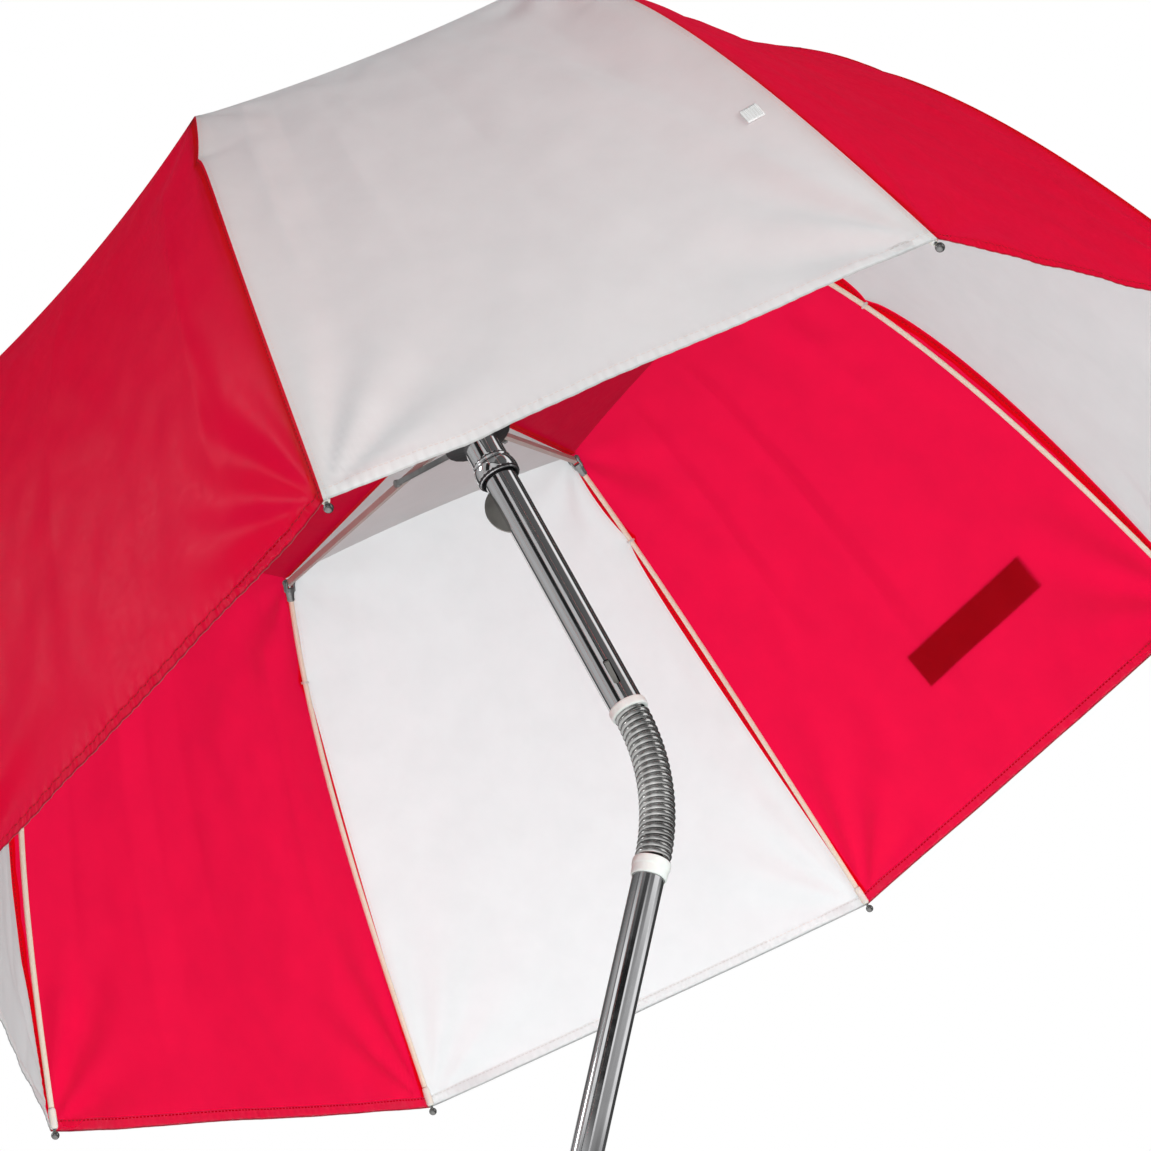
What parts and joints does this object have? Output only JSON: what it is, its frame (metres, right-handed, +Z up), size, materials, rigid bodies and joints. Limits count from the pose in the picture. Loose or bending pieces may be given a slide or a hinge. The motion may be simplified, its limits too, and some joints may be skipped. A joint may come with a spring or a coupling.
{
  "type": "golf umbrella",
  "caption": "Small deep-domed umbrella with a flexible coil neck in its chromed shaft, for shading a golf bag or cart; folds on a sliding runner.",
  "frame": {"origin": "centre of the butt cap's flat end face", "axes": "+Z up the lower shaft; the neck leans the canopy towards -X; -Y is the near side of the canopy"},
  "size_m": [0.7514, 0.8196, 1.1372],
  "materials": {
    "chrome_tube": "polished chrome plate",
    "coil_steel": "chromed round-wire winding",
    "zinc_steel": "bright zinc plate",
    "rib_steel": "painted steel channel",
    "ivory_plastic": "moulded, slightly translucent",
    "black_plastic": "moulded",
    "black_rubber": "moulded, fine grooves",
    "fibreglass": "drawn glass-fibre rod",
    "white_fabric": "satin woven polyester",
    "red_fabric": "satin woven polyester",
    "red_webbing": "double layer of canopy cloth"
  },
  "bodies": {
    "base": {"butt_cap": "black_rubber", "lower_shaft": "chrome_tube", "grip": "black_rubber", "lower_collar": "ivory_plastic", "neck_foot": "coil_steel"},
    "link_1": {"neck_link_1": "coil_steel"},
    "link_2": {"neck_link_2": "coil_steel"},
    "link_3": {"neck_link_3": "coil_steel"},
    "link_4": {"neck_link_4": "coil_steel"},
    "upper": {"neck_head": "coil_steel", "upper_collar": "ivory_plastic", "upper_shaft": "chrome_tube", "crown": "black_plastic", "crown_wire": "zinc_steel", "top_cap": "black_plastic"},
    "top_catch_leaf": {"top_catch": "zinc_steel"},
    "bottom_catch_leaf": {"bottom_catch": "zinc_steel"},
    "runner_slider": {"runner": "chrome_tube", "runner_wire": "zinc_steel"},
    "arm_body_1": {"arm_1": "rib_steel"},
    "stretcher_body_1": {"stretcher_1": "rib_steel"},
    "rib_body_1": {"outer_rib_1": "fibreglass", "tip_1": "zinc_steel", "canopy_panel_1": "white_fabric"},
    "arm_body_2": {"arm_2": "rib_steel"},
    "stretcher_body_2": {"stretcher_2": "rib_steel"},
    "rib_body_2": {"outer_rib_2": "fibreglass", "tip_2": "zinc_steel", "canopy_panel_2": "red_fabric"},
    "arm_body_3": {"arm_3": "rib_steel"},
    "stretcher_body_3": {"stretcher_3": "rib_steel"},
    "rib_body_3": {"outer_rib_3": "fibreglass", "tip_3": "zinc_steel", "canopy_panel_3": "white_fabric"},
    "arm_body_4": {"arm_4": "rib_steel"},
    "stretcher_body_4": {"stretcher_4": "rib_steel"},
    "rib_body_4": {"outer_rib_4": "fibreglass", "tip_4": "zinc_steel", "canopy_panel_4": "red_fabric", "tie_strap": "red_webbing"},
    "arm_body_5": {"arm_5": "rib_steel"},
    "stretcher_body_5": {"stretcher_5": "rib_steel"},
    "rib_body_5": {"outer_rib_5": "fibreglass", "tip_5": "zinc_steel", "canopy_panel_5": "white_fabric"},
    "arm_body_6": {"arm_6": "rib_steel"},
    "stretcher_body_6": {"stretcher_6": "rib_steel"},
    "rib_body_6": {"outer_rib_6": "fibreglass", "tip_6": "zinc_steel", "canopy_panel_6": "red_fabric"},
    "arm_body_7": {"arm_7": "rib_steel"},
    "stretcher_body_7": {"stretcher_7": "rib_steel"},
    "rib_body_7": {"outer_rib_7": "fibreglass", "tip_7": "zinc_steel", "canopy_panel_7": "white_fabric"},
    "arm_body_8": {"arm_8": "rib_steel"},
    "stretcher_body_8": {"stretcher_8": "rib_steel"},
    "rib_body_8": {"outer_rib_8": "fibreglass", "tip_8": "zinc_steel", "canopy_panel_8": "red_fabric"}
  },
  "joints": [
    {"name": "neck_bend", "type": "hinge", "parent": "base", "child": "link_1", "pos_m": [0, 0, 0.63001], "axis": [0, -1, 0], "range_deg": [-7.6, 1.4]},
    {"name": "neck_bend_2", "type": "hinge", "parent": "link_1", "child": "link_2", "pos_m": [-0.00265, 0, 0.64987], "axis": [0, -1, 0], "range_deg": [-7.6, 1.4]},
    {"name": "neck_bend_3", "type": "hinge", "parent": "link_2", "child": "link_3", "pos_m": [-0.0079, 0, 0.6692], "axis": [0, -1, 0], "range_deg": [-7.6, 1.4]},
    {"name": "neck_bend_4", "type": "hinge", "parent": "link_3", "child": "link_4", "pos_m": [-0.01566, 0, 0.68766], "axis": [0, -1, 0], "range_deg": [-7.6, 1.4]},
    {"name": "neck_bend_5", "type": "hinge", "parent": "link_4", "child": "upper", "pos_m": [-0.0258, 0, 0.70494], "axis": [0, -1, 0], "range_deg": [-7.6, 1.4]},
    {"name": "runner_slide", "type": "slide", "parent": "upper", "child": "runner_slider", "axis": [0.6157, 0, -0.788], "range_m": [0, 0.166], "deforming": ["canopy_panel_1", "canopy_panel_2", "canopy_panel_3", "canopy_panel_4", "canopy_panel_5", "canopy_panel_6", "canopy_panel_7", "canopy_panel_8", "tie_strap", "top_catch"]},
    {"name": "top_catch_press", "type": "slide", "parent": "upper", "child": "top_catch_leaf", "axis": [0.788, 0, 0.6157], "range_m": [0, 0.008], "stiffness_N_per_m": 400},
    {"name": "bottom_catch_press", "type": "slide", "parent": "upper", "child": "bottom_catch_leaf", "axis": [0, 1, 0], "range_m": [0, 0.002], "stiffness_N_per_m": 400},
    {"name": "arm_hinge_1", "type": "hinge", "parent": "upper", "child": "arm_body_1", "pos_m": [-0.1706, -0.01663, 0.90146], "axis": [0.728, 0.3827, 0.5688], "range_deg": [0, 104.35]},
    {"name": "elbow_1", "type": "hinge", "parent": "arm_body_1", "child": "rib_body_1", "pos_m": [-0.14336, -0.26608, 1.03442], "axis": [0.728, 0.3827, 0.5688], "range_deg": [-82.33, 0]},
    {"name": "stretcher_hinge_1", "type": "hinge", "parent": "runner_slider", "child": "stretcher_body_1", "pos_m": [-0.1629, -0.01571, 0.89098], "axis": [0.728, 0.3827, 0.5688], "range_deg": [-60.41, 0]},
    {"name": "arm_hinge_2", "type": "hinge", "parent": "upper", "child": "arm_body_2", "pos_m": [-0.16292, -0.00689, 0.90746], "axis": [0.3016, 0.9239, 0.2356], "range_deg": [0, 104.35]},
    {"name": "elbow_2", "type": "hinge", "parent": "arm_body_2", "child": "rib_body_2", "pos_m": [-0.02054, -0.11021, 1.13038], "axis": [0.3016, 0.9239, 0.2356], "range_deg": [-82.33, 0]},
    {"name": "stretcher_hinge_2", "type": "hinge", "parent": "runner_slider", "child": "stretcher_body_2", "pos_m": [-0.15565, -0.00651, 0.89665], "axis": [0.3016, 0.9239, 0.2356], "range_deg": [-60.41, 0]},
    {"name": "arm_hinge_3", "type": "hinge", "parent": "upper", "child": "arm_body_3", "pos_m": [-0.16292, 0.00689, 0.90746], "axis": [-0.3016, 0.9239, -0.2356], "range_deg": [0, 104.35]},
    {"name": "elbow_3", "type": "hinge", "parent": "arm_body_3", "child": "rib_body_3", "pos_m": [-0.02054, 0.11021, 1.13038], "axis": [-0.3016, 0.9239, -0.2356], "range_deg": [-82.33, 0]},
    {"name": "stretcher_hinge_3", "type": "hinge", "parent": "runner_slider", "child": "stretcher_body_3", "pos_m": [-0.15565, 0.00651, 0.89665], "axis": [-0.3016, 0.9239, -0.2356], "range_deg": [-60.41, 0]},
    {"name": "arm_hinge_4", "type": "hinge", "parent": "upper", "child": "arm_body_4", "pos_m": [-0.1706, 0.01663, 0.90146], "axis": [-0.728, 0.3827, -0.5688], "range_deg": [0, 104.35]},
    {"name": "elbow_4", "type": "hinge", "parent": "arm_body_4", "child": "rib_body_4", "pos_m": [-0.14336, 0.26608, 1.03442], "axis": [-0.728, 0.3827, -0.5688], "range_deg": [-82.33, 0]},
    {"name": "stretcher_hinge_4", "type": "hinge", "parent": "runner_slider", "child": "stretcher_body_4", "pos_m": [-0.1629, 0.01571, 0.89098], "axis": [-0.728, 0.3827, -0.5688], "range_deg": [-60.41, 0]},
    {"name": "arm_hinge_5", "type": "hinge", "parent": "upper", "child": "arm_body_5", "pos_m": [-0.18146, 0.01663, 0.89298], "axis": [-0.728, -0.3827, -0.5688], "range_deg": [0, 104.35]},
    {"name": "elbow_5", "type": "hinge", "parent": "arm_body_5", "child": "rib_body_5", "pos_m": [-0.31705, 0.26608, 0.89871], "axis": [-0.728, -0.3827, -0.5688], "range_deg": [-82.33, 0]},
    {"name": "stretcher_hinge_5", "type": "hinge", "parent": "runner_slider", "child": "stretcher_body_5", "pos_m": [-0.17315, 0.01571, 0.88297], "axis": [-0.728, -0.3827, -0.5688], "range_deg": [-60.41, 0]},
    {"name": "arm_hinge_6", "type": "hinge", "parent": "upper", "child": "arm_body_6", "pos_m": [-0.18913, 0.00689, 0.88699], "axis": [-0.3016, -0.9239, -0.2356], "range_deg": [0, 104.35]},
    {"name": "elbow_6", "type": "hinge", "parent": "arm_body_6", "child": "rib_body_6", "pos_m": [-0.43988, 0.11021, 0.80275], "axis": [-0.3016, -0.9239, -0.2356], "range_deg": [-82.33, 0]},
    {"name": "stretcher_hinge_6", "type": "hinge", "parent": "runner_slider", "child": "stretcher_body_6", "pos_m": [-0.1804, 0.00651, 0.87731], "axis": [-0.3016, -0.9239, -0.2356], "range_deg": [-60.41, 0]},
    {"name": "arm_hinge_7", "type": "hinge", "parent": "upper", "child": "arm_body_7", "pos_m": [-0.18913, -0.00689, 0.88699], "axis": [0.3016, -0.9239, 0.2356], "range_deg": [0, 104.35]},
    {"name": "elbow_7", "type": "hinge", "parent": "arm_body_7", "child": "rib_body_7", "pos_m": [-0.43988, -0.11021, 0.80275], "axis": [0.3016, -0.9239, 0.2356], "range_deg": [-82.33, 0]},
    {"name": "stretcher_hinge_7", "type": "hinge", "parent": "runner_slider", "child": "stretcher_body_7", "pos_m": [-0.1804, -0.00651, 0.87731], "axis": [0.3016, -0.9239, 0.2356], "range_deg": [-60.41, 0]},
    {"name": "arm_hinge_8", "type": "hinge", "parent": "upper", "child": "arm_body_8", "pos_m": [-0.18146, -0.01663, 0.89298], "axis": [0.728, -0.3827, 0.5688], "range_deg": [0, 104.35]},
    {"name": "elbow_8", "type": "hinge", "parent": "arm_body_8", "child": "rib_body_8", "pos_m": [-0.31705, -0.26608, 0.89871], "axis": [0.728, -0.3827, 0.5688], "range_deg": [-82.33, 0]},
    {"name": "stretcher_hinge_8", "type": "hinge", "parent": "runner_slider", "child": "stretcher_body_8", "pos_m": [-0.17315, -0.01571, 0.88297], "axis": [0.728, -0.3827, 0.5688], "range_deg": [-60.41, 0]}
  ],
  "couplings": [
    {"joint": "neck_bend_2", "follows": "neck_bend", "ratio": 1},
    {"joint": "neck_bend_3", "follows": "neck_bend", "ratio": 1},
    {"joint": "neck_bend_4", "follows": "neck_bend", "ratio": 1},
    {"joint": "neck_bend_5", "follows": "neck_bend", "ratio": 1},
    {"joint": "arm_hinge_1", "follows": "runner_slide", "rad_per_m": 10.94},
    {"joint": "elbow_1", "follows": "runner_slide", "rad_per_m": -8.6247},
    {"joint": "stretcher_hinge_1", "follows": "runner_slide", "rad_per_m": -6.32},
    {"joint": "arm_hinge_2", "follows": "runner_slide", "rad_per_m": 10.94},
    {"joint": "elbow_2", "follows": "runner_slide", "rad_per_m": -8.6247},
    {"joint": "stretcher_hinge_2", "follows": "runner_slide", "rad_per_m": -6.32},
    {"joint": "arm_hinge_3", "follows": "runner_slide", "rad_per_m": 10.94},
    {"joint": "elbow_3", "follows": "runner_slide", "rad_per_m": -8.6247},
    {"joint": "stretcher_hinge_3", "follows": "runner_slide", "rad_per_m": -6.32},
    {"joint": "arm_hinge_4", "follows": "runner_slide", "rad_per_m": 10.94},
    {"joint": "elbow_4", "follows": "runner_slide", "rad_per_m": -8.6247},
    {"joint": "stretcher_hinge_4", "follows": "runner_slide", "rad_per_m": -6.32},
    {"joint": "arm_hinge_5", "follows": "runner_slide", "rad_per_m": 10.94},
    {"joint": "elbow_5", "follows": "runner_slide", "rad_per_m": -8.6247},
    {"joint": "stretcher_hinge_5", "follows": "runner_slide", "rad_per_m": -6.32},
    {"joint": "arm_hinge_6", "follows": "runner_slide", "rad_per_m": 10.94},
    {"joint": "elbow_6", "follows": "runner_slide", "rad_per_m": -8.6247},
    {"joint": "stretcher_hinge_6", "follows": "runner_slide", "rad_per_m": -6.32},
    {"joint": "arm_hinge_7", "follows": "runner_slide", "rad_per_m": 10.94},
    {"joint": "elbow_7", "follows": "runner_slide", "rad_per_m": -8.6247},
    {"joint": "stretcher_hinge_7", "follows": "runner_slide", "rad_per_m": -6.32},
    {"joint": "arm_hinge_8", "follows": "runner_slide", "rad_per_m": 10.94},
    {"joint": "elbow_8", "follows": "runner_slide", "rad_per_m": -8.6247},
    {"joint": "stretcher_hinge_8", "follows": "runner_slide", "rad_per_m": -6.32}
  ]
}
